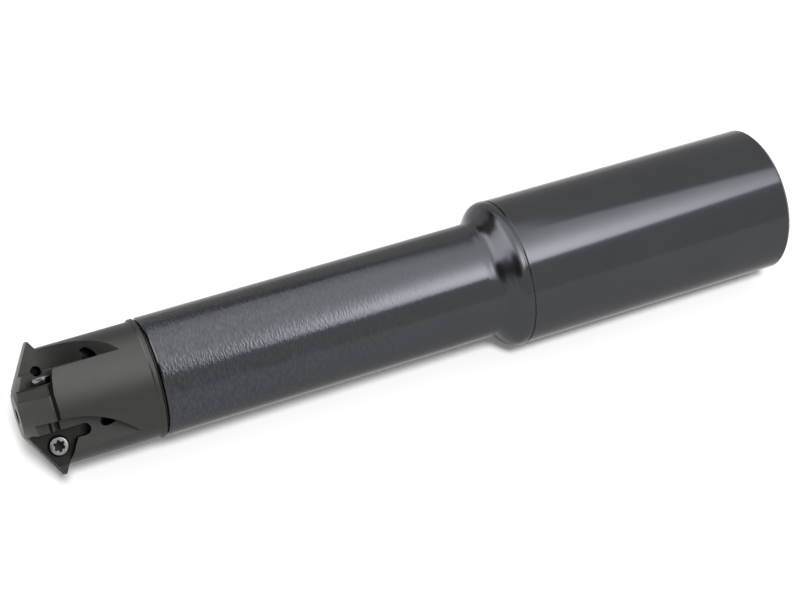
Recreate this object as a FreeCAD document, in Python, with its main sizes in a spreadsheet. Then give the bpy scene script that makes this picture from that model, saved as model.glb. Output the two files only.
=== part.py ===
import FreeCAD, Part
import math
import os
import Sketcher

# Indexable thread mill: a cylindrical shank with a slim neck, a screw-in cutter head and four
# three-edged inserts, each held by one six-lobe screw.
# Frame: millimetres, the tool stands on the rear face of its shank. The origin is the middle of
# that face, Z runs along the axis to the cutting end, tooth 1 points along X.
os.makedirs("parts", exist_ok=True)
doc = FreeCAD.newDocument("thread_mill")
sheet = doc.addObject("Spreadsheet::Sheet", "Sizes")

SIZES = {
    "shank_radius": 16.0,
    "shank_length": 63.0,
    "rear_chamfer": 0.8,
    "neck_radius": 12.5,
    "neck_length": 80.0,
    "neck_chamfer": 0.4,
    "relief_width": 0.5,
    "relief_depth": 0.25,
    "lip_width": 0.4,
    "lip_height": 0.1,
    "lip_rounding": 3.0,
    "shoulder_angle": 49.0,
    "shoulder_fillet": 2.8,
    "channel_radius": 2.5,
    "pilot_radius": 8.5,
    "pilot_length": 5.0,
    "pilot_play": 0.02,
    "stud_radius": 6.0,
    "stud_length": 13.0,
    "bore_extra": 1.5,
    "head_length": 27.6,
    "head_radius": 12.1,
    "head_edge": 0.25,
    "collar_radius": 12.5,
    "collar_width": 1.2,
    "joint_gap_depth": 1.0,
    "joint_gap_width": 0.35,
    "front_radius": 4.6,
    "front_angle": 30.0,
    "front_hole_radius": 1.6,
    "front_hole_depth": 9.0,
    "rim_radius": 13.8,
    "rim_root_depth": 0.3,
    "rim_land": 0.45,
    "rim_before": 22.0,
    "rim_after": 17.0,
    "tooth_count": 4.0,
    "rake_height": 4.95,
    "insert_inner_radius": 3.0,
    "insert_thickness": 2.38,
    "insert_corner": 0.2,
    "insert_centre_radius": 7.66,
    "insert_setback": 5.6,
    "insert_play": 0.03,
    "nose_land": 1.6,
    "nose_land_depth": 0.12,
    "insert_hole_radius": 1.35,
    "insert_sink_radius": 1.5,
    "rim_clearance": 0.4,
    "cutter_overrun": 1.0,
    "relief_slot_radius": 1.2,
    "relief_slot_setback": 11.2,
    "flute_floor": 7.45,
    "flute_wall": 2.5,
    "flute_straight": 6.0,
    "flute_run_out_radius": 21.1,
    "flute_run_out_angle": 62.0,
    "outlet_radius": 1.35,
    "outlet_height": 7.95,
    "outlet_wall": 5.1,
    "outlet_setback": 16.1,
    "outlet_angle": 40.0,
    "outlet_mouth": 5.4,
    "screw_head_radius": 1.85,
    "screw_head_rise": 1.5,
    "screw_cone_angle": 21.0,
    "screw_thread_radius": 1.05,
    "screw_length": 6.4,
    "screw_hole_overrun": 4.5,
    "socket_depth": 1.0,
    "socket_lobe_radius": 1.17,
    "socket_root_radius": 0.86,
    "socket_lobe_angle": 9.0,
}
for row, (alias, number) in enumerate(SIZES.items(), start=1):
    sheet.set("A%d" % row, alias)
    sheet.set("B%d" % row, repr(number))
    sheet.setAlias("B%d" % row, alias)
doc.recompute()


class Size:
    """A length or angle that keeps its number together with the sheet formula behind it."""

    def __init__(self, number, formula):
        self.number = number
        self.formula = formula

    def __add__(self, other):
        other = size_of(other)
        return Size(self.number + other.number, "(%s + %s)" % (self.formula, other.formula))

    def __sub__(self, other):
        other = size_of(other)
        return Size(self.number - other.number, "(%s - %s)" % (self.formula, other.formula))

    def __mul__(self, other):
        other = size_of(other)
        return Size(self.number * other.number, "(%s * %s)" % (self.formula, other.formula))

    def __truediv__(self, other):
        other = size_of(other)
        return Size(self.number / other.number, "(%s / %s)" % (self.formula, other.formula))

    def __neg__(self):
        return Size(-self.number, "(0 - %s)" % self.formula)


def size_of(value):
    """A plain factor such as 2 becomes a Size, so that it can stand in a formula."""
    if isinstance(value, Size):
        return value
    return Size(float(value), repr(float(value)))


def from_sheet(alias):
    return Size(float(sheet.get(alias)), "Sizes.%s" % alias)


def sine(angle):
    return Size(math.sin(math.radians(angle.number)), "sin(%s * 1 deg)" % angle.formula)


def cosine(angle):
    return Size(math.cos(math.radians(angle.number)), "cos(%s * 1 deg)" % angle.formula)


def square_root(value):
    return Size(math.sqrt(value.number), "sqrt(%s)" % value.formula)


def tangent(angle):
    return Size(math.tan(math.radians(angle.number)), "tan(%s * 1 deg)" % angle.formula)


ZERO = size_of(0)
ONE = size_of(1)
HALF = size_of(0.5)
DOUBLE = size_of(2)
# The insert is an equilateral triangle: its corner angle and half of it, in degrees.
CORNER = size_of(60)
HALF_CORNER = size_of(30)
INSERT_EDGES = size_of(3)
SOCKET_LOBES = 6


def origin_item(body, role):
    """A plane or axis of the body's own origin, found by its role."""
    for item in body.Origin.OriginFeatures:
        if item.Role == role:
            return item
    raise RuntimeError("no %s in %s" % (role, body.Label))


def new_body(name):
    body = doc.addObject("PartDesign::Body", name)
    body.Label = name
    return body


def new_sketch(body, name, role, offset=None):
    """A sketch on one of the body's origin planes, moved along its normal by an offset."""
    sketch = body.newObject("Sketcher::SketchObject", name)
    sketch.AttachmentSupport = [(origin_item(body, role), "")]
    sketch.MapMode = "FlatFace"
    if offset is not None:
        sketch.AttachmentOffset = FreeCAD.Placement(
            FreeCAD.Vector(0, 0, offset.number), FreeCAD.Rotation())
        sketch.setExpression("AttachmentOffset.Base.z", offset.formula)
    return sketch


def pin(sketch, geometry, point, along, value):
    """Tie one coordinate of a sketch point to its formula, or to the axis when it is zero."""
    if value.formula == ZERO.formula:
        axis = -2 if along == "DistanceX" else -1
        sketch.addConstraint(Sketcher.Constraint("PointOnObject", geometry, point, axis))
        return
    index = sketch.addConstraint(
        Sketcher.Constraint(along, -1, 1, geometry, point, value.number))
    sketch.setExpression("Constraints[%d]" % index, value.formula)


def arc_between(first, last, radius, bend_left):
    """The short arc from first to last: its centre lies to the left or right of the chord."""
    chord = last - first
    middle = (first + last) * 0.5
    height = math.sqrt(max(radius * radius - chord.Length * chord.Length / 4.0, 0.0))
    side = FreeCAD.Vector(-chord.y, chord.x, 0).normalize()
    centre = middle + side * (height if bend_left else -height)
    start, end = (first, last) if bend_left else (last, first)
    circle = Part.Circle(centre, FreeCAD.Vector(0, 0, 1), radius)
    return Part.ArcOfCircle(
        circle,
        math.atan2(start.y - centre.y, start.x - centre.x),
        math.atan2(end.y - centre.y, end.x - centre.x))


def draw_outline(sketch, corners, rounds=None):
    """A closed outline through corners. rounds maps a side to (radius, centre on the left), and
    a radius of None makes a half circle, its middle level with its two ends."""
    rounds = rounds or {}
    count = len(corners)
    points = [FreeCAD.Vector(across.number, up.number, 0) for across, up in corners]
    starts = []
    ends = []
    for index in range(count):
        first = points[index]
        last = points[(index + 1) % count]
        if index in rounds:
            radius, bend_left = rounds[index]
            reach = (last - first).Length / 2.0 if radius is None else radius.number
            item = sketch.addGeometry(arc_between(first, last, reach, bend_left), False)
            starts.append((item, 1 if bend_left else 2))
            ends.append((item, 2 if bend_left else 1))
        else:
            item = sketch.addGeometry(Part.LineSegment(first, last), False)
            starts.append((item, 1))
            ends.append((item, 2))
    for index in range(count):
        here = starts[index]
        before = ends[index - 1]
        sketch.addConstraint(
            Sketcher.Constraint("Coincident", before[0], before[1], here[0], here[1]))
    for index, (across, up) in enumerate(corners):
        item, point = starts[index]
        pin(sketch, item, point, "DistanceX", across)
        pin(sketch, item, point, "DistanceY", up)
    for index, (radius, bend_left) in rounds.items():
        item = starts[index][0]
        if radius is None:
            pin(sketch, item, 3, "DistanceY", corners[index][1])
            continue
        tie = sketch.addConstraint(Sketcher.Constraint("Radius", item, radius.number))
        sketch.setExpression("Constraints[%d]" % tie, radius.formula)


def draw_circle(sketch, across, up, radius):
    """A circle whose middle and radius follow the sheet."""
    middle = FreeCAD.Vector(across.number, up.number, 0)
    item = sketch.addGeometry(
        Part.Circle(middle, FreeCAD.Vector(0, 0, 1), radius.number), False)
    if across.formula == ZERO.formula and up.formula == ZERO.formula:
        sketch.addConstraint(Sketcher.Constraint("Coincident", item, 3, -1, 1))
    else:
        pin(sketch, item, 3, "DistanceX", across)
        pin(sketch, item, 3, "DistanceY", up)
    tie = sketch.addConstraint(Sketcher.Constraint("Radius", item, radius.number))
    sketch.setExpression("Constraints[%d]" % tie, radius.formula)


def revolve(body, name, sketch):
    """Turn a half profile once round the sketch's upright axis."""
    feature = body.newObject("PartDesign::Revolution", name)
    feature.Profile = sketch
    feature.ReferenceAxis = (sketch, ["V_Axis"])
    feature.Angle = 360.0
    doc.recompute()
    return feature


def cut_along(body, name, sketch, length, forward):
    """A pocket of a set length; forward cuts along the sketch normal. It must remove material."""
    before = body.Shape.Volume
    feature = body.newObject("PartDesign::Pocket", name)
    feature.Profile = sketch
    feature.Length = length.number
    feature.setExpression("Length", length.formula)
    feature.Reversed = forward
    doc.recompute()
    if not body.Shape.Volume < before - 0.001:
        raise RuntimeError("%s removes nothing" % name)
    return feature


def pattern_round(body, name, features, axis_role, copies):
    """Repeat features evenly round one axis of the body."""
    feature = body.newObject("PartDesign::PolarPattern", name)
    feature.Originals = features
    feature.Axis = (origin_item(body, axis_role), [""])
    feature.Angle = 360.0
    feature.Occurrences = int(copies.number)
    feature.setExpression("Occurrences", copies.formula)
    body.Tip = feature
    doc.recompute()
    return feature


shank_radius = from_sheet("shank_radius")
shank_length = from_sheet("shank_length")
neck_radius = from_sheet("neck_radius")
joint_z = shank_length + from_sheet("neck_length")
front_z = joint_z + from_sheet("head_length")

# The shank with its neck, turned from one bar. The profile runs from the rear face up the outside
# to the joint face, then down the bore that takes the head's pilot and threaded stud.
rear_chamfer = from_sheet("rear_chamfer")
channel_radius = from_sheet("channel_radius")
neck_chamfer = from_sheet("neck_chamfer")
relief_radius = shank_radius - from_sheet("relief_depth")
lip_radius = shank_radius + from_sheet("lip_height")
lip_rounding = from_sheet("lip_rounding")
shoulder_angle = from_sheet("shoulder_angle")
shoulder_fillet = from_sheet("shoulder_fillet")
relief_top = shank_length + from_sheet("relief_width")
lip_top = relief_top + from_sheet("lip_width")
slope_low_radius = lip_radius - lip_rounding * (ONE - cosine(shoulder_angle))
slope_low_z = lip_top + lip_rounding * sine(shoulder_angle)
slope_high_radius = neck_radius + shoulder_fillet * (ONE - cosine(shoulder_angle))
slope_high_z = slope_low_z + (slope_low_radius - slope_high_radius) / tangent(shoulder_angle)
neck_low_z = slope_high_z + shoulder_fillet * sine(shoulder_angle)
pilot_bore = from_sheet("pilot_radius") + from_sheet("pilot_play")
pilot_floor = joint_z - from_sheet("pilot_length") - from_sheet("bore_extra")
stud_radius = from_sheet("stud_radius")
stud_floor = (joint_z - from_sheet("pilot_length") - from_sheet("stud_length")
              - from_sheet("bore_extra"))

shank = new_body("shank")
shank_profile = new_sketch(shank, "shank_profile", "XZ_Plane")
draw_outline(
    shank_profile,
    [
        (channel_radius, ZERO),
        (shank_radius - rear_chamfer, ZERO),
        (shank_radius, rear_chamfer),
        (shank_radius, shank_length),
        (relief_radius, shank_length),
        (relief_radius, relief_top),
        (lip_radius, relief_top),
        (lip_radius, lip_top),
        (slope_low_radius, slope_low_z),
        (slope_high_radius, slope_high_z),
        (neck_radius, neck_low_z),
        (neck_radius, joint_z - neck_chamfer),
        (neck_radius - neck_chamfer, joint_z),
        (pilot_bore, joint_z),
        (pilot_bore, pilot_floor),
        (stud_radius, pilot_floor),
        (stud_radius, stud_floor),
        (channel_radius, stud_floor),
    ],
    {7: (lip_rounding, True), 9: (shoulder_fillet, False)})
revolve(shank, "shank_turned", shank_profile)

# The cutter head: turned blank with front cone, seat collar, pilot and stud.
head_radius = from_sheet("head_radius")
head_edge = from_sheet("head_edge")
collar_radius = from_sheet("collar_radius")
collar_z = joint_z + from_sheet("joint_gap_width") + from_sheet("collar_width")
gap_z = joint_z + from_sheet("joint_gap_width")
gap_radius = collar_radius - from_sheet("joint_gap_depth")
front_radius = from_sheet("front_radius")
front_angle = from_sheet("front_angle")
front_hole_radius = from_sheet("front_hole_radius")
cone_foot_z = front_z - (head_radius - front_radius) * tangent(front_angle)
pilot_radius = from_sheet("pilot_radius")
pilot_z = joint_z - from_sheet("pilot_length")
stud_z = pilot_z - from_sheet("stud_length")

head = new_body("cutter_head")
head_profile = new_sketch(head, "head_profile", "XZ_Plane")
draw_outline(
    head_profile,
    [
        (channel_radius, stud_z),
        (stud_radius, stud_z),
        (stud_radius, pilot_z),
        (pilot_radius, pilot_z),
        (pilot_radius, joint_z),
        (gap_radius, joint_z),
        (gap_radius, gap_z),
        (collar_radius - head_edge, gap_z),
        (collar_radius, gap_z + head_edge),
        (collar_radius, collar_z - head_edge),
        (head_radius, collar_z),
        (head_radius, cone_foot_z),
        (front_radius, front_z),
        (front_hole_radius, front_z),
        (front_hole_radius, front_z - from_sheet("front_hole_depth")),
        (channel_radius, front_z - from_sheet("front_hole_depth")),
    ])
revolve(head, "head_turned", head_profile)

# The rim that carries the noses of the inserts: a V ridge over part of the turn, one per tooth.
rim_radius = from_sheet("rim_radius")
rim_root = head_radius - from_sheet("rim_root_depth")
rim_front_z = front_z - (rim_radius - front_radius) * tangent(front_angle)
rim_rear_z = rim_front_z - from_sheet("rim_land")
rim_root_front_z = front_z - (rim_root - front_radius) * tangent(front_angle)
rim_root_rear_z = rim_rear_z - (rim_radius - rim_root) * tangent(front_angle)
rim_before = from_sheet("rim_before")
rim_span = rim_before + from_sheet("rim_after")
rim_profile = head.newObject("Sketcher::SketchObject", "rim_profile")
rim_profile.AttachmentSupport = [(origin_item(head, "XZ_Plane"), "")]
rim_profile.MapMode = "FlatFace"
rim_profile.AttachmentOffset = FreeCAD.Placement(
    FreeCAD.Vector(0, 0, 0), FreeCAD.Rotation(FreeCAD.Vector(0, 1, 0), -rim_before.number))
rim_profile.setExpression("AttachmentOffset.Rotation.Angle", (-rim_before).formula + " * 1 deg")
draw_outline(
    rim_profile,
    [
        (rim_root, rim_root_front_z),
        (rim_root, rim_root_rear_z),
        (rim_radius, rim_rear_z),
        (rim_radius, rim_front_z),
    ])
rim = head.newObject("PartDesign::Revolution", "tooth_rim")
rim.Profile = rim_profile
rim.ReferenceAxis = (rim_profile, ["V_Axis"])
rim.Angle = rim_span.number
rim.setExpression("Angle", rim_span.formula)
doc.recompute()

# The flute in front of the next tooth: a straight wall that runs out of the head on an arc, and
# a flat floor square to it. The sketch lies on the floor and the pocket opens outwards.
rake_height = from_sheet("rake_height")
flute_floor = from_sheet("flute_floor")
flute_wall = -from_sheet("flute_wall")
run_out = from_sheet("flute_run_out_radius")
run_out_angle = from_sheet("flute_run_out_angle")
overrun = from_sheet("cutter_overrun")
open_end = front_z + overrun
straight_end = front_z - from_sheet("flute_straight")
run_out_wall = flute_wall - run_out * (ONE - cosine(run_out_angle))
run_out_end = straight_end - run_out * sine(run_out_angle)
far_side = -(collar_radius * DOUBLE)
flute_sketch = new_sketch(head, "flute_sketch", "YZ_Plane", flute_floor)
draw_outline(
    flute_sketch,
    [
        (flute_wall, open_end),
        (far_side, open_end),
        (far_side, run_out_end),
        (run_out_wall, run_out_end),
        (flute_wall, straight_end),
    ],
    {3: (run_out, True)})
flute = cut_along(head, "flute", flute_sketch, collar_radius, True)

# The insert pocket: seat, inner wall, rear wall and the slot that clears the rear corner.
inner_radius = from_sheet("insert_inner_radius")
insert_play = from_sheet("insert_play")
centre_radius = from_sheet("insert_centre_radius")
centre_z = front_z - from_sheet("insert_setback")
seat_height = rake_height - from_sheet("insert_thickness")
wall_x = centre_radius - inner_radius - insert_play
nose_x = centre_radius + inner_radius * DOUBLE
slot_radius = from_sheet("relief_slot_radius")
slot_z = front_z - from_sheet("relief_slot_setback")
slot_x = wall_x + slot_radius * DOUBLE
wall_foot = insert_play / cosine(HALF_CORNER)
notch_x = square_root(head_radius * head_radius - seat_height * seat_height)
slot_meet_z = centre_z - (nose_x - slot_x) * tangent(HALF_CORNER) - wall_foot
notch_meet_z = centre_z - (nose_x - notch_x) * tangent(HALF_CORNER) - wall_foot
notch_z = (rim_rear_z - (rim_radius - head_radius) * tangent(front_angle)
           - from_sheet("rim_clearance"))
outside_x = rim_radius + inner_radius
seat_sketch = new_sketch(head, "seat_sketch", "XZ_Plane", -seat_height)
draw_outline(
    seat_sketch,
    [
        (wall_x, open_end),
        (wall_x, slot_z),
        (slot_x, slot_z),
        (slot_x, slot_meet_z),
        (notch_x, notch_meet_z),
        (notch_x, notch_z),
        (outside_x, notch_z),
        (outside_x, open_end),
    ],
    {1: (None, True)})
seat = cut_along(head, "insert_pocket", seat_sketch, collar_radius, False)

# The tapped hole of the insert screw, drilled on through the tooth and past its back wall.
thread_radius = from_sheet("screw_thread_radius")
drill_depth = seat_height + from_sheet("flute_wall") + from_sheet("screw_hole_overrun")
drill_sketch = new_sketch(head, "drill_sketch", "XZ_Plane", -seat_height)
draw_circle(drill_sketch, centre_radius, centre_z, thread_radius)
drill = cut_along(head, "screw_hole", drill_sketch, drill_depth, True)

# The coolant outlet: drilled from the flute wall down to the channel in the middle. Its sketch
# plane stands square to the drilling direction, at the outlet's middle.
outlet_height = from_sheet("outlet_height")
outlet_wall = from_sheet("outlet_wall")
outlet_z = front_z - from_sheet("outlet_setback")
outlet_angle = from_sheet("outlet_angle")
outlet_turn = size_of(math.degrees(math.atan2(outlet_wall.number, outlet_height.number)))
outlet_turn.formula = "atan2(%s; %s) / 1 deg" % (outlet_wall.formula, outlet_height.formula)
outlet_reach = size_of(math.hypot(outlet_height.number, outlet_wall.number))
outlet_reach.formula = "hypot(%s; %s)" % (outlet_height.formula, outlet_wall.formula)
outlet_sketch = head.newObject("Sketcher::SketchObject", "outlet_sketch")
outlet_sketch.AttachmentSupport = [(origin_item(head, "XY_Plane"), "")]
outlet_sketch.MapMode = "FlatFace"
turn = FreeCAD.Rotation(FreeCAD.Vector(0, 0, 1), -outlet_turn.number)
tilt = FreeCAD.Rotation(FreeCAD.Vector(0, 1, 0), outlet_angle.number)
outlet_sketch.AttachmentOffset = FreeCAD.Placement(
    FreeCAD.Vector(outlet_height.number, -outlet_wall.number, outlet_z.number),
    turn.multiply(tilt))
outlet_sketch.setExpression(
    "AttachmentOffset",
    "create(<<placement>>; create(<<vector>>; %s; %s; %s); create(<<rotation>>; %s; %s; 0))" % (
        outlet_height.formula, (-outlet_wall).formula, outlet_z.formula,
        (-outlet_turn).formula, outlet_angle.formula))
draw_circle(outlet_sketch, ZERO, ZERO, from_sheet("outlet_radius"))
outlet_length = outlet_reach / sine(outlet_angle)
outlet = cut_along(head, "coolant_outlet", outlet_sketch, outlet_length, False)
outlet_mouth = cut_along(
    head, "coolant_outlet_mouth", outlet_sketch, from_sheet("outlet_mouth"), True)

pattern_round(
    head, "teeth", [rim, flute, seat, drill, outlet, outlet_mouth], "Z_Axis",
    from_sheet("tooth_count"))


def place_at_tooth(body, index):
    """Stand an insert or screw, made round its own middle, at its tooth."""
    angle = 360.0 * index / from_sheet("tooth_count").number
    step = Size(angle, "(360 * %d / Sizes.tooth_count)" % index)
    middle_x = centre_radius * cosine(step) - rake_height * sine(step)
    middle_y = centre_radius * sine(step) + rake_height * cosine(step)
    body.Placement = FreeCAD.Placement(
        FreeCAD.Vector(middle_x.number, middle_y.number, centre_z.number),
        FreeCAD.Rotation(FreeCAD.Vector(0, 0, 1), angle))
    body.setExpression("Placement.Base.x", middle_x.formula)
    body.setExpression("Placement.Base.y", middle_y.formula)
    body.setExpression("Placement.Base.z", centre_z.formula)


def insert_outline():
    """The three-cornered outline with rounded corners, its nose towards X."""
    corner = from_sheet("insert_corner")
    half_side = inner_radius * tangent(CORNER)
    along = corner * (DOUBLE - HALF)
    across = corner * sine(CORNER)
    tangent_length = corner * tangent(CORNER)
    nose = inner_radius * DOUBLE
    corners = [
        (nose - along, across),
        (along - inner_radius, half_side - across),
        (-inner_radius, half_side - tangent_length),
        (-inner_radius, tangent_length - half_side),
        (along - inner_radius, across - half_side),
        (nose - along, -across),
    ]
    return corners, {1: (corner, True), 3: (corner, True), 5: (corner, True)}


def make_insert(index):
    """One three-edged threading insert: prism, screw hole with sink, ground land at each nose."""
    name = "insert_%d" % (index + 1)
    thickness = from_sheet("insert_thickness")
    body = new_body(name)
    outline = new_sketch(body, name + "_outline", "XZ_Plane")
    corners, rounds = insert_outline()
    draw_outline(outline, corners, rounds)
    blank = body.newObject("PartDesign::Pad", name + "_blank")
    blank.Profile = outline
    blank.Length = thickness.number
    blank.setExpression("Length", thickness.formula)
    doc.recompute()
    if body.Shape.BoundBox.YMax > 0.001:
        blank.Reversed = True
        doc.recompute()
    nose = inner_radius * DOUBLE
    land_side = from_sheet("nose_land")
    land_start = nose - land_side
    land = new_sketch(body, name + "_land_sketch", "XZ_Plane")
    draw_outline(
        land,
        [
            (land_start, -land_side),
            (nose + inner_radius, -land_side),
            (nose + inner_radius, land_side),
            (land_start, land_side),
        ])
    before = body.Shape.Volume
    land_cut = body.newObject("PartDesign::Pocket", name + "_land")
    land_cut.Profile = land
    land_cut.Length = from_sheet("nose_land_depth").number
    land_cut.setExpression("Length", from_sheet("nose_land_depth").formula)
    doc.recompute()
    if not body.Shape.Volume < before - 0.001:
        land_cut.Reversed = True
        doc.recompute()
    pattern_round(body, name + "_lands", [land_cut], "Y_Axis", INSERT_EDGES)
    hole_radius = from_sheet("insert_hole_radius")
    sink_radius = from_sheet("insert_sink_radius")
    sink_depth = (sink_radius - hole_radius) / tangent(from_sheet("screw_cone_angle"))
    hole = new_sketch(body, name + "_hole_sketch", "XY_Plane")
    draw_outline(
        hole,
        [
            (ZERO, overrun),
            (sink_radius, overrun),
            (sink_radius, ZERO),
            (hole_radius, -sink_depth),
            (hole_radius, -(thickness + overrun)),
            (ZERO, -(thickness + overrun)),
        ])
    groove = body.newObject("PartDesign::Groove", name + "_hole")
    groove.Profile = hole
    groove.ReferenceAxis = (hole, ["V_Axis"])
    groove.Angle = 360.0
    body.Tip = groove
    doc.recompute()
    place_at_tooth(body, index)
    return body


def socket_outline():
    """The six-lobe socket: each lobe and each root between two lobes ends in a short flat."""
    lobe = from_sheet("socket_lobe_radius")
    root = from_sheet("socket_root_radius")
    spread = from_sheet("socket_lobe_angle")
    corners = []
    for step in range(2 * SOCKET_LOBES):
        radius = root if step % 2 else lobe
        middle = size_of(180.0 * step / SOCKET_LOBES)
        for angle in (middle - spread, middle + spread):
            corners.append((radius * cosine(angle), radius * sine(angle)))
    return corners


def make_screw(index):
    """One insert screw: a cone head seated in the insert, a plain thread, a six-lobe socket."""
    name = "insert_screw_%d" % (index + 1)
    head_top = from_sheet("screw_head_rise")
    head_rim = from_sheet("screw_head_radius")
    sink_radius = from_sheet("insert_sink_radius")
    cone_slope = tangent(from_sheet("screw_cone_angle"))
    cone_top = (head_rim - sink_radius) / cone_slope
    cone_foot = -((sink_radius - thread_radius) / cone_slope)
    tip = head_top - from_sheet("screw_length")
    body = new_body(name)
    profile = new_sketch(body, name + "_profile", "XY_Plane")
    draw_outline(
        profile,
        [
            (ZERO, head_top),
            (head_rim, head_top),
            (head_rim, cone_top),
            (thread_radius, cone_foot),
            (thread_radius, tip),
            (ZERO, tip),
        ])
    revolve(body, name + "_turned", profile)
    socket = new_sketch(body, name + "_socket_sketch", "XZ_Plane", -head_top)
    draw_outline(socket, socket_outline())
    cut_along(body, name + "_socket", socket, from_sheet("socket_depth"), True)
    place_at_tooth(body, index)
    return body


bodies = [shank, head]
for number in range(int(from_sheet("tooth_count").number)):
    bodies.append(make_insert(number))
for number in range(int(from_sheet("tooth_count").number)):
    bodies.append(make_screw(number))
doc.recompute()

for item in doc.Objects:
    if "Invalid" in item.State or "Error" in item.State:
        raise RuntimeError("%s did not recompute: %s" % (item.Label, item.State))

facets = 0
for body in bodies:
    shape = body.Shape
    if shape.isNull() or not shape.isValid() or len(shape.Solids) != 1:
        raise RuntimeError("%s is not one valid solid" % body.Label)
    count = len(shape.tessellate(0.1)[1])
    facets += count
    print("facets of", body.Label, count)
    box = shape.BoundBox
    print("%-16s %9.2f mm3  x %.2f..%.2f  y %.2f..%.2f  z %.2f..%.2f" % (
        body.Label, shape.Volume, box.XMin, box.XMax, box.YMin, box.YMax, box.ZMin, box.ZMax))
    shape.exportStep("parts/%s.step" % body.Label)
print("facets", facets)
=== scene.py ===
"""Indexable thread mill: finishes, fine pieces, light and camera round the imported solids.

Every size is in metres in the frame of the solids. The tool stands on the rear face of its
shank, Z runs along its axis to the cutting end, and tooth 1 points along X.
"""
import logging
import math
from collections.abc import Callable
from dataclasses import dataclass, field
from enum import Enum

import bmesh
import bpy
from mathutils import Matrix, Vector


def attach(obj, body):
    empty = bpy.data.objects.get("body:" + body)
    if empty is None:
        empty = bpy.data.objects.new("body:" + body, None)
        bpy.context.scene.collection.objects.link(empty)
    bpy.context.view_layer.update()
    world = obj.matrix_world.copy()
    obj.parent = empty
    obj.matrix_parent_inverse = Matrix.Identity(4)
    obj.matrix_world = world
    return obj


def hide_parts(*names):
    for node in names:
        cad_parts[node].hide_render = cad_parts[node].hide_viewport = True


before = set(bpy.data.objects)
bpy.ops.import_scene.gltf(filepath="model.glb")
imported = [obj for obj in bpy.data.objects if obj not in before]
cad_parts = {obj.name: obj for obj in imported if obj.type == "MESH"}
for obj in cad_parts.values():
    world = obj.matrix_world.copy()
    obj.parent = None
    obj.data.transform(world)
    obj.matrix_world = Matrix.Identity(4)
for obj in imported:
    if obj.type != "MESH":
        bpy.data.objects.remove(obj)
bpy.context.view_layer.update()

MM = 0.001
FULL_TURN = 2.0 * math.pi
BODY = "root"
PHOTO_WIDTH_PX = 800
AXIS = Vector((0.0, 0.0, 1.0))
WHITE = (1.0, 1.0, 1.0, 1.0)
# Where the screw of tooth 1 stands: out from the axis, along it, and the face of the insert.
SCREW_RADIUS = 7.66 * MM
SCREW_Z = 165.0 * MM
RAKE_HEIGHT = 4.95 * MM
WELD_DISTANCE = 0.002 * MM
FLAT_ANGLE = math.radians(0.4)
NOISE_ROUGHNESS = 0.55
# The Mix node's sockets for colours share their names with others, so they go by number.
MIX_SHARE = 0
MIX_COLOURS = (6, 7)
MIX_RESULT = 2
# The attributes that a mesh carries for its finish: its place on tooth 1, and its share free of
# painted shade.
HOME = "home"
UNSHADED = "unshaded"

logging.basicConfig(level=logging.INFO, format="%(message)s")
log = logging.getLogger("thread_mill")

Colour = tuple[float, float, float]


class ToolMark(Enum):
    """How a surface was cut, which sets the direction of its fine lines."""

    TURNED = "turned"
    MILLED = "milled"
    HONED = "honed"


@dataclass(frozen=True)
class Signal:
    """One output socket of a node tree that can be used in plain arithmetic."""

    tree: bpy.types.NodeTree
    socket: bpy.types.NodeSocket

    def maths(self, operation: str, *values: "Signal | float") -> "Signal":
        """Add a Math node.

        Args:
            operation: The node's operation, such as ADD.
            values: What goes into its sockets, in order.

        Returns:
            The node's result.
        """
        node = self.tree.nodes.new("ShaderNodeMath")
        node.operation = operation
        for index, value in enumerate(values):
            if isinstance(value, Signal):
                self.tree.links.new(value.socket, node.inputs[index])
            else:
                node.inputs[index].default_value = value
        return Signal(self.tree, node.outputs[0])

    def __add__(self, other: "Signal | float") -> "Signal":
        """Sum."""
        return self.maths("ADD", self, other)

    def __radd__(self, other: float) -> "Signal":
        """Sum with the number first."""
        return self.maths("ADD", other, self)

    def __sub__(self, other: "Signal | float") -> "Signal":
        """Difference."""
        return self.maths("SUBTRACT", self, other)

    def __rsub__(self, other: float) -> "Signal":
        """Difference with the number first."""
        return self.maths("SUBTRACT", other, self)

    def __mul__(self, other: "Signal | float") -> "Signal":
        """Product."""
        return self.maths("MULTIPLY", self, other)

    def __rmul__(self, other: float) -> "Signal":
        """Product with the number first."""
        return self.maths("MULTIPLY", other, self)

    def __truediv__(self, other: "Signal | float") -> "Signal":
        """Quotient."""
        return self.maths("DIVIDE", self, other)

    def above(self, limit: float) -> "Signal":
        """One where the signal is over the limit, otherwise zero."""
        return self.maths("GREATER_THAN", self, limit)

    def root(self) -> "Signal":
        """Square root."""
        return self.maths("SQRT", self)

    def higher(self, other: "Signal | float") -> "Signal":
        """The larger of two values."""
        return self.maths("MAXIMUM", self, other)

    def clamped(self) -> "Signal":
        """The signal held between zero and one."""
        return self.maths("MINIMUM", self.higher(0.0), 1.0)


@dataclass
class NodeBench:
    """A node tree with one method that adds any kind of node to it."""

    tree: bpy.types.NodeTree

    def add(self, kind: str, settings: dict | None = None,
            values: dict | None = None) -> bpy.types.Node:
        """Add one node.

        Args:
            kind: The node's type name.
            settings: Properties set first.
            values: Socket name or number to a value or a Signal.

        Returns:
            The new node.
        """
        node = self.tree.nodes.new(kind)
        for name, value in (settings or {}).items():
            setattr(node, name, value)
        for name, value in (values or {}).items():
            if isinstance(value, Signal):
                self.tree.links.new(value.socket, node.inputs[name])
            else:
                node.inputs[name].default_value = value
        return node

    def out(self, kind: str, output: str | int, settings: dict | None = None,
            values: dict | None = None) -> Signal:
        """Add one node and take one of its outputs, by name or number."""
        return Signal(self.tree, self.add(kind, settings, values).outputs[output])

    def show(self, surface: Signal) -> None:
        """Make a shader the material's surface."""
        self.tree.links.new(surface.socket, self.tree.nodes["Material Output"].inputs["Surface"])


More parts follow.
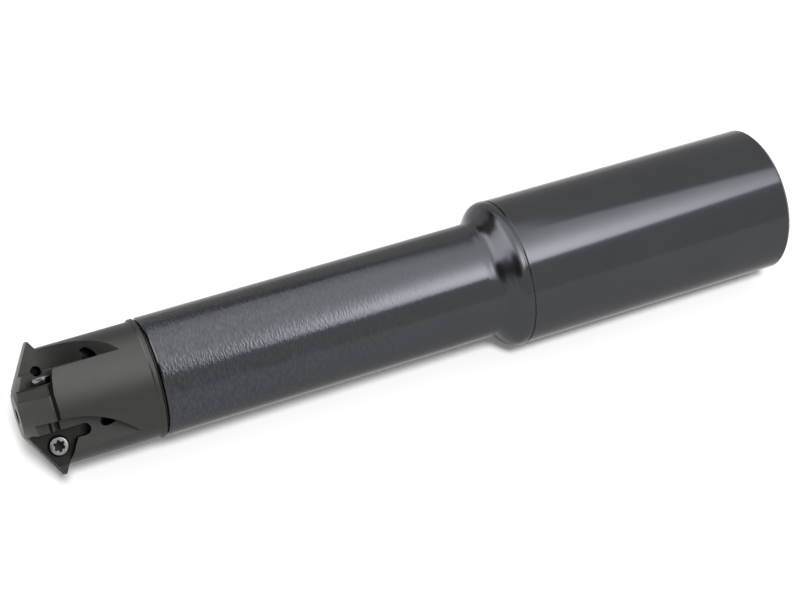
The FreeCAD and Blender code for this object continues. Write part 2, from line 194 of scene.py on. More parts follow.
def plain_material(name: str) -> tuple[bpy.types.Material, NodeBench]:
    """A material with only its output node, and its node bench."""
    material = bpy.data.materials.new(name)
    material.use_nodes = True
    material.node_tree.nodes.remove(material.node_tree.nodes["Principled BSDF"])
    return material, NodeBench(material.node_tree)


def parts_of(bench: NodeBench, place: Signal) -> tuple[Signal, Signal, Signal]:
    """The X, Y and Z of a vector."""
    parts = bench.add("ShaderNodeSeparateXYZ", values={"Vector": place})
    return tuple(Signal(bench.tree, parts.outputs[axis]) for axis in "XYZ")


def axial(bench: NodeBench, place: Signal) -> Signal:
    """The place along the tool's axis."""
    return parts_of(bench, place)[2]


def radial(bench: NodeBench, place: Signal) -> Signal:
    """The distance from the tool's axis."""
    x, y, _ = parts_of(bench, place)
    return (x * x + y * y).root()


def blended(bench: NodeBench, share: Signal, low: "Signal | Colour",
            high: "Signal | Colour") -> Signal:
    """A colour between two others, by a share from zero to one."""
    ends = [end if isinstance(end, Signal) else (*end, 1.0) for end in (low, high)]
    return bench.out(
        "ShaderNodeMix", MIX_RESULT, {"data_type": "RGBA"},
        {MIX_SHARE: share, **dict(zip(MIX_COLOURS, ends))})


def noise(bench: NodeBench, place: Signal, stretch: tuple[float, float, float],
          detail: float) -> Signal:
    """Noise from zero to one, with a number of cells per metre along X, Y and Z."""
    moved = bench.out("ShaderNodeMapping", 0, values={"Vector": place, "Scale": stretch})
    return bench.out(
        "ShaderNodeTexNoise", 0, {"noise_dimensions": "3D"},
        {"Vector": moved, "Scale": 1.0, "Detail": detail, "Roughness": NOISE_ROUGHNESS})


def ring_noise(bench: NodeBench, place: Signal, pitch: float, stretch: float,
               detail: float) -> Signal:
    """Noise with cells of one pitch along the tool's axis, drawn out round it."""
    cells = 1.0 / pitch
    return noise(bench, place, (cells * stretch, cells * stretch, cells), detail)


def darker_or_lighter(share: Signal, contrast: float) -> Signal:
    """A noise share pulled away from its middle and held between zero and one."""
    return ((share - 0.5) * contrast + 0.5).clamped()


@dataclass(frozen=True)
class SteelFinish:
    """A metal surface with the fine lines of the tool that cut it."""

    name: str
    mark: ToolMark
    dark_tint: Colour
    light_tint: Colour
    roughness: float
    streak: float
    line_pitch: float
    line_depth: float
    edge_tint: float = 0.68
    edge_rounding: float = 0.0
    edge_samples: int = 6
    turned_stretch: float = 0.02
    milled_stretch: float = 0.12
    cloud_cells: tuple[float, float, float] = (90.0, 90.0, 60.0)
    cloud_share: float = 0.75
    cloud_contrast: float = 1.6

    def line_stretch(self) -> tuple[float, float, float]:
        """Cells per metre that lay the lines round the axis, along it or evenly."""
        fine = 1.0 / self.line_pitch
        if self.mark is ToolMark.TURNED:
            return (fine * self.turned_stretch, fine * self.turned_stretch, fine)
        if self.mark is ToolMark.MILLED:
            return (fine, fine, fine * self.milled_stretch)
        return (fine, fine, fine)

    def tint(self, bench: NodeBench, place: Signal, lines: Signal) -> Signal:
        """The surface colour: broad clouds with a trace of the fine lines."""
        clouds = noise(bench, place, self.cloud_cells, detail=3.0)
        traced = clouds * self.cloud_share + lines * (1.0 - self.cloud_share)
        share = darker_or_lighter(traced, self.cloud_contrast)
        return blended(bench, share, self.dark_tint, self.light_tint)

    def gloss(self, bench: NodeBench, place: Signal, lines: Signal) -> Signal:
        """The roughness, which follows the fine lines a little."""
        return self.roughness + (lines - 0.5) * self.streak

    def relief(self, bench: NodeBench, place: Signal, lines: Signal) -> Signal:
        """The height of the surface marks in metres."""
        return lines * self.line_depth

    def build(self) -> bpy.types.Material:
        """Make the material.

        Returns:
            The finished material.
        """
        material = bpy.data.materials.new(self.name)
        material.use_nodes = True
        bench = NodeBench(material.node_tree)
        surface = material.node_tree.nodes["Principled BSDF"]
        place = bench.out("ShaderNodeTexCoord", "Object")
        lines = noise(bench, place, self.line_stretch(), detail=2.0)
        values = {
            "Height": self.relief(bench, place, lines) / MM, "Strength": 1.0, "Distance": MM}
        if self.edge_rounding > 0.0:
            values["Normal"] = bench.out(
                "ShaderNodeBevel", 0, {"samples": self.edge_samples},
                {"Radius": self.edge_rounding})
        links = material.node_tree.links
        for signal, socket in (
            (self.tint(bench, place, lines), "Base Color"),
            (self.gloss(bench, place, lines), "Roughness"),
            (bench.out("ShaderNodeBump", 0, values=values), "Normal"),
        ):
            links.new(signal.socket, surface.inputs[socket])
        surface.inputs["Metallic"].default_value = 1.0
        surface.inputs["Specular Tint"].default_value = (self.edge_tint,) * 3 + (1.0,)
        return material


@dataclass(frozen=True)
class BarFinish(SteelFinish):
    """Blued bar steel: ground on the shank, turned on the neck, uneven in the shoulder."""

    neck_start: float = 64.0 * MM
    shoulder_end: float = 71.0 * MM
    shoulder_blend: float = 1.2 * MM
    joint: float = 143.0 * MM
    plain_end: float = 0.6 * MM
    fade: float = 75.0 * MM
    ring_depth: float = 0.006 * MM
    ring_pitch: float = 0.50 * MM
    ring_stretch: float = 0.03
    grain_depth: float = 0.060 * MM
    grain_pitch: float = 0.40 * MM
    grain_stretch: float = 0.35
    mottle_depth: float = 0.12 * MM
    mottle_pitch: float = 2.2 * MM
    mottle_stretch: float = 0.5
    shoulder_dullness: float = 0.09
    speckle_low: Colour = (0.041, 0.042, 0.047)
    speckle_high: Colour = (0.074, 0.076, 0.086)
    speckle_share: float = 0.75
    speckle_contrast: float = 2.6

    def near_joint(self, place_z: Signal) -> Signal:
        """Zero on the shoulder's side of the neck, one at the joint, zero on its last edge."""
        rise = ((place_z - (self.joint - self.fade)) / self.fade).clamped()
        return rise * (1.0 - place_z.above(self.joint - self.plain_end))

    def in_shoulder(self, place_z: Signal) -> Signal:
        """One between the shank and the neck, falling to zero at both ends."""
        rise = ((place_z - self.neck_start) / self.shoulder_blend).clamped()
        return rise * ((self.shoulder_end - place_z) / self.shoulder_blend).clamped()

    def grain(self, bench: NodeBench, place: Signal) -> Signal:
        """Short flecks that lie round the neck."""
        return ring_noise(bench, place, self.grain_pitch, self.grain_stretch, detail=2.0)

    def tint(self, bench: NodeBench, place: Signal, lines: Signal) -> Signal:
        """The bar's colour, flecked towards the joint."""
        bar = SteelFinish.tint(self, bench, place, lines)
        flecks = darker_or_lighter(self.grain(bench, place), self.speckle_contrast)
        flecked = blended(bench, flecks, self.speckle_low, self.speckle_high)
        share = self.near_joint(axial(bench, place)) * self.speckle_share
        return blended(bench, share, bar, flecked)

    def gloss(self, bench: NodeBench, place: Signal, lines: Signal) -> Signal:
        """The bar's roughness, duller in the shoulder."""
        even = SteelFinish.gloss(self, bench, place, lines)
        return even + self.in_shoulder(axial(bench, place)) * self.shoulder_dullness

    def relief(self, bench: NodeBench, place: Signal, lines: Signal) -> Signal:
        """Fine rings on the shank, deeper rings and grain on the neck, waves in the shoulder."""
        z = axial(bench, place)
        rings = ring_noise(bench, place, self.ring_pitch, self.ring_stretch, detail=3.0)
        waves = ring_noise(bench, place, self.mottle_pitch, self.mottle_stretch, detail=1.0)
        flecks = self.grain(bench, place) * self.grain_depth * self.near_joint(z)
        turned = (rings * self.ring_depth + flecks) * z.above(self.neck_start)
        mottle = waves * self.mottle_depth * self.in_shoulder(z)
        return lines * self.line_depth + turned + mottle


@dataclass(frozen=True)
class HeadFinish(SteelFinish):
    """Dark milled steel whose front shows a painted pale, speckled sheen at flat angles."""

    # The colour of the front's painted sheen, which shows only at flat angles.
    front: Colour = (0.165, 0.160, 0.140)
    front_z: float = 170.6 * MM
    front_radius: float = 4.6 * MM
    front_slope: float = math.tan(math.radians(30.0))
    front_skin: float = 0.04 * MM
    speckle_pitch: float = 0.35 * MM
    speckle_contrast: float = 2.5
    speckle_share: float = 0.6
    sheen_from: float = 0.40
    sheen_rise: float = 3.5

    def tint(self, bench: NodeBench, place: Signal, lines: Signal) -> Signal:
        """The milled colour, with a painted pale sheen where the front is seen at a flat angle."""
        milled = SteelFinish.tint(self, bench, place, lines)
        z = axial(bench, place)
        cone = z + radial(bench, place) * self.front_slope
        on_cone = cone.above(self.front_z + self.front_radius * self.front_slope - self.front_skin)
        on_face = z.above(self.front_z - self.front_skin)
        fine = 1.0 / self.speckle_pitch
        grains = noise(bench, place, (fine, fine, fine), detail=3.0)
        speckle = darker_or_lighter(grains, self.speckle_contrast)
        # Painted sheen: the front turns paler where it is seen at a flat angle, in speckled
        # patches.
        flatness = bench.out("ShaderNodeLayerWeight", "Facing")
        pale = ((flatness - self.sheen_from) * self.sheen_rise).clamped()
        speckled = speckle * self.speckle_share + (1.0 - self.speckle_share)
        return blended(bench, on_cone.higher(on_face) * pale * speckled, milled, self.front)


@dataclass(frozen=True)
class CarbideFinish(SteelFinish):
    """Dark coated carbide: paler ground flanks, a brownish nose and a painted shadow round the
    screw hole.

    The mesh carries each point's place on the insert of tooth 1, so all inserts look alike.
    """

    flank: Colour = (0.046, 0.047, 0.043)
    nose: Colour = (0.050, 0.040, 0.036)
    # Colour of the painted shadow that the screw head casts round the hole.
    shade_at_hole: Colour = (0.004, 0.004, 0.004)
    nose_share: float = 0.8
    skin: float = 0.40 * MM
    nose_start: float = 11.7 * MM
    shadow_radius: float = 2.25 * MM
    shadow_blend: float = 0.12 * MM
    shadow_share: float = 0.9

    def tint(self, bench: NodeBench, place: Signal, lines: Signal) -> Signal:
        """The coating's colour with its nose, the painted shadow round the hole and its flanks."""
        home = bench.out("ShaderNodeAttribute", "Vector", {"attribute_name": HOME})
        x, y, z = parts_of(bench, home)
        coated = SteelFinish.tint(self, bench, place, lines)
        across = x - SCREW_RADIUS
        along = z - SCREW_Z
        from_hole = (across * across + along * along).root()
        # Painted shadow: a dark ring round the screw hole, where the head's shadow falls.
        near_hole = ((self.shadow_radius - from_hole) / self.shadow_blend).clamped()
        nosed = blended(bench, x.above(self.nose_start) * self.nose_share, coated, self.nose)
        shadowed = blended(bench, near_hole * self.shadow_share, nosed, self.shade_at_hole)
        on_flank = 1.0 - y.above(RAKE_HEIGHT - self.skin)
        return blended(bench, on_flank, shadowed, self.flank)


@dataclass(frozen=True)
class PlatedFinish(SteelFinish):
    """Bright plated steel with painted shade in the socket, on the thread and along the start of
    the head's rounding.
    """

    painted_shade_tint: Colour = (0.020, 0.019, 0.018)
    dull_roughness: float = 0.5

    # Painted shade: the screw's colour goes dark where the mesh's unshaded share falls.
    def tint(self, bench: NodeBench, place: Signal, lines: Signal) -> Signal:
        """Bright where the mesh's unshaded share is one, painted shade where it is zero."""
        bright = SteelFinish.tint(self, bench, place, lines)
        return blended(bench, 1.0 - self.unshaded(bench), bright, self.painted_shade_tint)

    def gloss(self, bench: NodeBench, place: Signal, lines: Signal) -> Signal:
        """Smooth on the bright faces and dull where shade is painted."""
        return self.dull_roughness + self.unshaded(bench) * (self.roughness - self.dull_roughness)

    def unshaded(self, bench: NodeBench) -> Signal:
        """The share of surface free of painted shade that the mesh carries."""
        return bench.out("ShaderNodeAttribute", "Fac", {"attribute_name": UNSHADED})


def new_geometry_tree(
        name: str, kinds: dict[str, str]) -> tuple[NodeBench, dict[str, str], dict[str, Signal]]:
    """A tree with a geometry input, further named inputs and a geometry output.

    Args:
        name: The tree's name.
        kinds: The named inputs' socket types, without what they all begin with.

    Returns:
        The tree's bench, the named inputs' identifiers, by which a modifier is set, and the
        signals of all inputs.
    """
    tree = bpy.data.node_groups.new(name, "GeometryNodeTree")
    tree.interface.new_socket("Geometry", in_out="INPUT", socket_type="NodeSocketGeometry")
    tree.interface.new_socket("Geometry", in_out="OUTPUT", socket_type="NodeSocketGeometry")
    keys = {}
    for label, kind in kinds.items():
        entry = tree.interface.new_socket(label, in_out="INPUT", socket_type="NodeSocket" + kind)
        keys[label] = entry.identifier
    start = tree.nodes.new("NodeGroupInput")
    given = {label: Signal(tree, start.outputs[label]) for label in ("Geometry", *keys)}
    return NodeBench(tree), keys, given


def finish_geometry(bench: NodeBench, shape: Signal, material: Signal, crease: Signal) -> None:
    """Close a tree: smooth all but sharp edges, realize the copies and set the material."""
    edge = bench.out("GeometryNodeInputMeshEdgeAngle", "Unsigned Angle")
    sharp = bench.out(
        "FunctionNodeCompare", 0, {"data_type": "FLOAT", "operation": "GREATER_THAN"},
        {0: edge, 1: crease})
    solid = bench.out("GeometryNodeRealizeInstances", 0, values={"Geometry": shape})
    smooth = bench.out(
        "GeometryNodeSetShadeSmooth", 0, {"domain": "FACE"},
        {"Geometry": solid, "Shade Smooth": True})
    creased = bench.out(
        "GeometryNodeSetShadeSmooth", 0, {"domain": "EDGE"},
        {"Geometry": smooth, "Selection": sharp, "Shade Smooth": False})
    dressed = bench.out(
        "GeometryNodeSetMaterial", 0, values={"Geometry": creased, "Material": material})
    end = bench.tree.nodes.new("NodeGroupOutput")
    bench.tree.links.new(dressed.socket, end.inputs[0])


def lathe_tree() -> tuple[bpy.types.NodeTree, dict[str, str]]:
    """Geometry nodes that turn a profile curve once round the Z axis.

    Returns:
        The tree, and its inputs' identifiers by name.
    """
    bench, keys, given = new_geometry_tree("turned_bar", {
        "Segments": "Int", "Guide Radius": "Float", "Crease": "Float", "Material": "Material"})
    guide = bench.out(
        "GeometryNodeCurvePrimitiveCircle", 0, {"mode": "RADIUS"},
        {"Resolution": given["Segments"], "Radius": given["Guide Radius"]})
    turned = bench.out(
        "GeometryNodeCurveToMesh", 0,
        values={"Curve": guide, "Profile Curve": given["Geometry"]})
    finish_geometry(bench, turned, given["Material"], given["Crease"])
    return bench.tree, keys


def tooth_round_tree() -> tuple[bpy.types.NodeTree, dict[str, str]]:
    """Geometry nodes that repeat the piece of tooth 1 evenly round the Z axis.

    Returns:
        The tree, and its inputs' identifiers by name.
    """
    bench, keys, given = new_geometry_tree("piece_at_each_tooth", {
        "Teeth": "Int", "Crease": "Float", "Material": "Material"})
    turn = bench.out("GeometryNodeInputIndex", 0) * FULL_TURN / given["Teeth"]
    angles = bench.out("ShaderNodeCombineXYZ", 0, values={"Z": turn})
    posts = bench.out("GeometryNodePoints", 0, values={"Count": given["Teeth"]})
    copies = bench.out(
        "GeometryNodeInstanceOnPoints", 0,
        values={"Points": posts, "Instance": given["Geometry"], "Rotation": angles})
    finish_geometry(bench, copies, given["Material"], given["Crease"])
    return bench.tree, keys


def placed(name: str, data: bpy.types.ID) -> bpy.types.Object:
    """A new object in the scene."""
    item = bpy.data.objects.new(name, data)
    bpy.context.scene.collection.objects.link(item)
    return item


def grown(name: str, data: bpy.types.ID, tree: bpy.types.NodeTree,
          settings: dict) -> bpy.types.Object:
    """Run a geometry tree on some data and keep the plain mesh that comes out.

    Args:
        name: The finished piece's name.
        data: The mesh or curve that the tree starts from.
        tree: The geometry tree.
        settings: The modifier's inputs by identifier.

    Returns:
        The finished piece, at the origin.
    """
    seed = placed(name + "_seed", data)
    modifier = seed.modifiers.new("grow", "NODES")
    modifier.node_group = tree
    for key, value in settings.items():
        modifier[key] = value
    bpy.context.view_layer.update()
    graph = bpy.context.evaluated_depsgraph_get()
    mesh = bpy.data.meshes.new_from_object(seed.evaluated_get(graph), depsgraph=graph)
    mesh.name = name
    seed.modifiers.remove(modifier)
    bpy.data.objects.remove(seed)
    return placed(name, mesh)


def settle(piece: bpy.types.Object, nodes: list[str]) -> None:
    """Let a piece ride on the tool's body and stand for the solids that it follows."""
    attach(piece, BODY)
    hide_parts(*nodes)


def merged_copy(node: str, name: str) -> bpy.types.Mesh:
    """A welded copy of a solid's mesh with its flat faces joined up.

    Args:
        node: The solid's node.
        name: The new mesh's name.

    Returns:
        The copy.
    """
    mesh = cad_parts[node].data.copy()
    mesh.name = name
    mesh.materials.clear()
    shape = bmesh.new()
    shape.from_mesh(mesh)
    bmesh.ops.remove_doubles(shape, verts=shape.verts, dist=WELD_DISTANCE)
    bmesh.ops.dissolve_limit(
        shape, angle_limit=FLAT_ANGLE, verts=shape.verts, edges=shape.edges)
    shape.to_mesh(mesh)
    shape.free()
    return mesh


@dataclass
class EvenNormals:
    """Normals that make a faceted solid look as smooth as the machined surface.

    Faces turned round the Z axis get the true normals of their cone or cylinder. The small
    chamfer in front of the collar is shaded as if worn round. All others are averaged by area
    with the faces that meet them at less than the crease angle.
    """

    crease: float = math.radians(24.0)
    facet: float = math.radians(4.4)
    steepest: float = 0.25
    axis_radius: float = 0.1 * MM
    chamfer_rise: float = 0.5
    chamfer_inside: float = 12.0 * MM
    chamfer_below: float = 145.0 * MM
    chamfer_lean: float = math.radians(76.0)

    def is_turned(self, face: bmesh.types.BMFace) -> bool:
        """Whether a face is one facet of a surface turned round the Z axis."""
        level = face.normal.xy.length
        if level < self.steepest:
            return False
        heading = face.normal.xy / level
        outward = heading.dot(face.calc_center_median().xy) > 0.0
        if not outward:
            heading = -heading
        for vert in face.verts:
            radius = vert.co.xy.length
            if radius < self.axis_radius:
                return False
            if heading.dot(vert.co.xy) < radius * math.cos(self.facet):
                return False
        return True

    def is_collar_chamfer(self, face: bmesh.types.BMFace) -> bool:
        """Whether a face belongs to the small chamfer in front of the collar."""
        if face.normal.z < self.chamfer_rise:
            return False
        if face.calc_center_median().z > self.chamfer_below:
            return False
        return min(vert.co.xy.length for vert in face.verts) > self.chamfer_inside

    def chamfer_normal(self, place: Vector) -> Vector:
        """The normal of the chamfer at a place, leaning outwards."""
        out = place.xy.normalized() * math.sin(self.chamfer_lean)
        return Vector((out.x, out.y, math.cos(self.chamfer_lean)))

    def turned_normal(self, face: bmesh.types.BMFace, place: Vector) -> Vector:
        """The normal at a place of the cone or cylinder that a facet belongs to."""
        level = face.normal.xy.length
        if face.normal.xy.dot(place.xy) < 0.0:
            level = -level
        across = place.xy.normalized() * level
        return Vector((across.x, across.y, face.normal.z)).normalized()

    def apply(self, mesh: bpy.types.Mesh) -> None:
        """Give the mesh its own normals.

        Args:
            mesh: A welded mesh whose flat faces are joined up.
        """
        shape = bmesh.new()
        shape.from_mesh(mesh)
        shape.faces.ensure_lookup_table()
        turned = [self.is_turned(face) for face in shape.faces]
        areas = [face.calc_area() for face in shape.faces]
        limit = math.cos(self.crease)
        normals = []
        for face in shape.faces:
            chamfered = self.is_collar_chamfer(face)
            for loop in face.loops:
                if chamfered:
                    normals.append(self.chamfer_normal(loop.vert.co))
                    continue
                if turned[face.index]:
                    normals.append(self.turned_normal(face, loop.vert.co))
                    continue
                total = Vector()
                for other in loop.vert.link_faces:
                    if not turned[other.index] and other.normal.dot(face.normal) > limit:
                        total += other.normal * areas[other.index]
                normals.append(total.normalized())
        shape.free()
        mesh.shade_smooth()
        mesh.normals_split_custom_set(normals)


@dataclass
class Shank:
    """The shank and neck, turned from one bar."""

    finish: SteelFinish
    shank_radius: float = 16.0 * MM
    shank_length: float = 63.0 * MM
    rear_chamfer: float = 0.8 * MM
    neck_radius: float = 12.5 * MM
    neck_length: float = 80.0 * MM
    neck_chamfer: float = 0.4 * MM
    relief_width: float = 0.5 * MM
    relief_depth: float = 0.25 * MM
    lip_width: float = 0.4 * MM
    lip_height: float = 0.1 * MM
    lip_rounding: float = 3.0 * MM
    shoulder_angle: float = math.radians(49.0)
    shoulder_fillet: float = 2.8 * MM
    shoulder_steps: int = 12
    channel_radius: float = 2.5 * MM
    pilot_bore: float = 8.52 * MM
    pilot_floor: float = 136.5 * MM
    stud_radius: float = 6.0 * MM
    stud_floor: float = 123.5 * MM
    segments: int = 240
    guide_radius: float = 40.0 * MM
    crease: float = math.radians(12.0)

    def profile(self) -> list[tuple[float, float]]:
        """The half section as radius and height, from the channel round to the bore."""
        relief_top = self.shank_length + self.relief_width
        lip_top = relief_top + self.lip_width
        lip_radius = self.shank_radius + self.lip_height
        joint = self.shank_length + self.neck_length
        angle = self.shoulder_angle
        slope_low = (
            lip_radius - self.lip_rounding * (1.0 - math.cos(angle)),
            lip_top + self.lip_rounding * math.sin(angle))
        high_radius = self.neck_radius + self.shoulder_fillet * (1.0 - math.cos(angle))
        high_z = slope_low[1] + (slope_low[0] - high_radius) / math.tan(angle)
        neck_z = high_z + self.shoulder_fillet * math.sin(angle)
        points = [
            (self.channel_radius, 0.0),
            (self.shank_radius - self.rear_chamfer, 0.0),
            (self.shank_radius, self.rear_chamfer),
            (self.shank_radius, self.shank_length),
            (self.shank_radius - self.relief_depth, self.shank_length),
            (self.shank_radius - self.relief_depth, relief_top),
            (lip_radius, relief_top),
        ]
        turns = [
            angle * step / self.shoulder_steps for step in range(self.shoulder_steps + 1)]
        points += [
            (lip_radius - self.lip_rounding * (1.0 - math.cos(turn)),
             lip_top + self.lip_rounding * math.sin(turn)) for turn in turns]
        points += [
            (self.neck_radius + self.shoulder_fillet * (1.0 - math.cos(turn)),
             neck_z - self.shoulder_fillet * math.sin(turn)) for turn in reversed(turns)]
        points += [
            (self.neck_radius, joint - self.neck_chamfer),
            (self.neck_radius - self.neck_chamfer, joint),
            (self.pilot_bore, joint),
            (self.pilot_bore, self.pilot_floor),
            (self.stud_radius, self.pilot_floor),
            (self.stud_radius, self.stud_floor),
            (self.channel_radius, self.stud_floor),
        ]
        return points

    def build(self) -> bpy.types.Object:
        """Turn the profile and dress it.

        Returns:
            The finished shank.
        """
        curve = bpy.data.curves.new("shank_section", "CURVE")
        curve.dimensions = "3D"
        points = self.profile()
        line = curve.splines.new("POLY")
        line.points.add(len(points) - 1)
        for point, (radius, height) in zip(line.points, points):
            point.co = (radius - self.guide_radius, -height, 0.0, 1.0)
        line.use_cyclic_u = True
        tree, keys = lathe_tree()
        piece = grown("shank_bar", curve, tree, {
            keys["Segments"]: self.segments,
            keys["Guide Radius"]: self.guide_radius,
            keys["Crease"]: self.crease,
            keys["Material"]: self.finish.build(),
        })
        settle(piece, ["shank"])
        return piece


@dataclass
class CutterHead:
    """The screw-in head: the solid's own form with smooth turned and milled faces."""

    finish: SteelFinish
    normals: EvenNormals = field(default_factory=EvenNormals)

    def build(self) -> bpy.types.Object:
        """Weld, smooth and dress the head.

        Returns:
            The finished head.
        """
        mesh = merged_copy("cutter_head", "cutter_head_milled")
        mesh.materials.append(self.finish.build())
        self.normals.apply(mesh)
        piece = placed("cutter_head_milled", mesh)
        settle(piece, ["cutter_head"])
        return piece


@dataclass
class ToothPiece:
    """A piece of tooth 1 that comes back at every tooth."""

    finish: SteelFinish
    teeth: int = 4
    crease: float = math.radians(24.0)

    def repeat(self, mesh: bpy.types.Mesh, name: str, slot: str, node: str) -> bpy.types.Object:
        """Repeat the mesh of tooth 1 and dress it.

        Args:
            mesh: The piece at tooth 1.
            name: The finished piece's name.
            slot: The material slot of the solids; not used.
            node: The solids' name before the tooth's number.

        Returns:
            The pieces of all teeth as one.
        """
        tree, keys = tooth_round_tree()
        piece = grown(name, mesh, tree, {
            keys["Teeth"]: self.teeth,
            keys["Crease"]: self.crease,
            keys["Material"]: self.finish.build(),
        })
        settle(piece, [f"{node}_{n + 1}" for n in range(self.teeth)])
        return piece


@dataclass
class Inserts(ToothPiece):
    """The threading inserts, one at each tooth."""

    def build(self) -> bpy.types.Object:
        """Repeat the insert of tooth 1 and dress it.

        Returns:
            All inserts as one piece.
        """
        mesh = merged_copy("insert_1", "insert_seed")
        home = mesh.attributes.new(HOME, "FLOAT_VECTOR", "POINT")
        for vert, value in zip(mesh.vertices, home.data):
            value.vector = vert.co
        return self.repeat(mesh, "threading_inserts", "insert_carbide", "insert")


@dataclass
class RingStack:
    """A closed shape lofted through rings that lie square to one axis."""

    corners: int
    rings: list[tuple[float, Callable[[float], float], float]] = field(default_factory=list)

    def ring(self, height: float, radius: float | Callable[[float], float], unshaded: float) -> None:
        """Add a ring, its radius a number or a function of the angle, with its share free of
        painted shade.
        """
        shape = radius if callable(radius) else (lambda angle, size=radius: size)
        self.rings.append((height, shape, unshaded))

    def mesh(self, name: str, place: Callable[[float, float, float], Vector]) -> bpy.types.Mesh:
        """Loft the rings and close both ends with a fan.

        Args:
            name: The mesh's name.
            place: Turns angle, radius and height into a point.

        Returns:
            The closed mesh.
        """
        shape = bmesh.new()
        layer = shape.verts.layers.float.new(UNSHADED)

        def corner(angle: float, radius: float, height: float, unshaded: float) -> bmesh.types.BMVert:
            """One vertex with its share of surface free of painted shade."""
            vert = shape.verts.new(place(angle, radius, height))
            vert[layer] = unshaded
            return vert

        angles = [FULL_TURN * n / self.corners for n in range(self.corners)]
        rows = [
            [corner(angle, radius(angle), height, unshaded) for angle in angles]
            for height, radius, unshaded in self.rings]
        for low, high in zip(rows, rows[1:]):
            for n in range(self.corners):
                after = (n + 1) % self.corners
                shape.faces.new((low[n], low[after], high[after], high[n]))
        for row, (height, _, unshaded) in ((rows[0], self.rings[0]), (rows[-1], self.rings[-1])):
            middle = corner(0.0, 0.0, height, unshaded)
            for n in range(self.corners):
                shape.faces.new((row[n], row[(n + 1) % self.corners], middle))
        bmesh.ops.recalc_face_normals(shape, faces=shape.faces)
        mesh = bpy.data.meshes.new(name)
        shape.to_mesh(mesh)
        shape.free()
        return mesh


@dataclass
class InsertScrews(ToothPiece):
    """The insert screws: rounded cone head, six-lobe socket and thread."""

    crease: float = math.radians(28.0)
    head_radius: float = 1.85 * MM
    head_rise: float = 1.5 * MM
    head_rounding: float = 0.22 * MM
    rounding_lead: float = 0.264 * MM
    rounding_steps: int = 4
    rounding_unshaded: float = 0.3
    cone_slope: float = math.tan(math.radians(21.0))
    seat_radius: float = 1.5 * MM
    thread_radius: float = 1.05 * MM
    thread_depth: float = 0.14 * MM
    thread_pitch: float = 0.45 * MM
    thread_rows: int = 8
    length: float = 6.4 * MM
    tip_chamfer: float = 0.3 * MM
    socket_depth: float = 1.0 * MM
    socket_mean: float = 1.01 * MM
    socket_swing: float = 0.17 * MM
    socket_chamfer: float = 0.07 * MM
    socket_squareness: float = 1.8
    socket_cone: float = 0.15 * MM
    socket_tip: float = 0.3 * MM
    lobes: int = 6
    corners: int = 72

    def socket(self, spare: float) -> Callable[[float], float]:
        """The socket's outline, widened by a spare width.

        Args:
            spare: What is added to every radius.

        Returns:
            The radius as a function of the angle.
        """
        def radius(angle: float) -> float:
            """The outline's radius at an angle."""
            wave = math.tanh(self.socket_squareness * math.cos(self.lobes * angle))
            swing = self.socket_swing / math.tanh(self.socket_squareness)
            return self.socket_mean + spare + swing * wave
        return radius

    def thread(self, height: float) -> Callable[[float], float]:
        """The thread's radius round one ring.

        Args:
            height: The ring's place along the screw.

        Returns:
            The radius as a function of the angle.
        """
        def radius(angle: float) -> float:
            """The thread's radius at an angle."""
            turn = (height / self.thread_pitch - angle / FULL_TURN) % 1.0
            return self.thread_radius - self.thread_depth * (1.0 - abs(2.0 * turn - 1.0))
        return radius

    def place(self, angle: float, radius: float, height: float) -> Vector:
        """A point of tooth 1's screw, its axis square to the rake face."""
        return Vector((
            SCREW_RADIUS + radius * math.cos(angle),
            RAKE_HEIGHT + height,
            SCREW_Z + radius * math.sin(angle)))

    def one_screw(self) -> bpy.types.Mesh:
        """Loft tooth 1's screw.

        Returns:
            The screw's mesh.
        """
        stack = RingStack(self.corners)
        top = self.head_rise
        tip = top - self.length
        foot = -(self.seat_radius - self.thread_radius) / self.cone_slope
        rim_low = (self.head_radius - self.seat_radius) / self.cone_slope
        thread_start = tip + self.tip_chamfer
        thread_top = foot - self.thread_pitch
        thread_core = self.thread_radius - self.thread_depth
        # Painted shade: the thread and tip, deep in the hole, are dark.
        stack.ring(tip, self.thread_radius - self.tip_chamfer, unshaded=0.0)
        stack.ring(thread_start, thread_core, unshaded=0.0)
        rows = int((thread_top - thread_start) / self.thread_pitch * self.thread_rows)
        for row in range(1, rows):
            height = thread_start + row * self.thread_pitch / self.thread_rows
            stack.ring(height, self.thread(height), unshaded=0.0)
        stack.ring(thread_top, thread_core, unshaded=0.0)
        stack.ring(foot, self.thread_radius, unshaded=0.5)
        stack.ring(0.0, self.seat_radius, unshaded=1.0)
        stack.ring(rim_low, self.head_radius, unshaded=1.0)
        stack.ring(top - self.rounding_lead, self.head_radius, unshaded=1.0)
        # Painted shade along the start of the head's rounding.
        for step in range(self.rounding_steps + 1):
            share = step / self.rounding_steps
            sunk = self.head_rounding * (1.0 - math.sin(math.pi / 2 * share))
            drawn_in = self.head_rounding * (1.0 - math.cos(math.pi / 2 * share))
            unshaded = self.rounding_unshaded + (1.0 - self.rounding_unshaded) * share
            stack.ring(top - sunk, self.head_radius - drawn_in, unshaded)
        stack.ring(top, self.socket(self.socket_chamfer), unshaded=1.0)
        # Painted shade down the socket.
        stack.ring(top - self.socket_chamfer, self.socket(0.0), unshaded=0.3)
        stack.ring(top - self.socket_depth, self.socket(0.0), unshaded=0.0)
        stack.ring(top - self.socket_depth - self.socket_cone, self.socket_tip, unshaded=0.0)
        return stack.mesh("screw_seed", self.place)

    def build(self) -> bpy.types.Object:
        """Repeat the screw at each tooth, as one piece."""
        return self.repeat(self.one_screw(), "insert_screws", "screw_steel", "insert_screw")


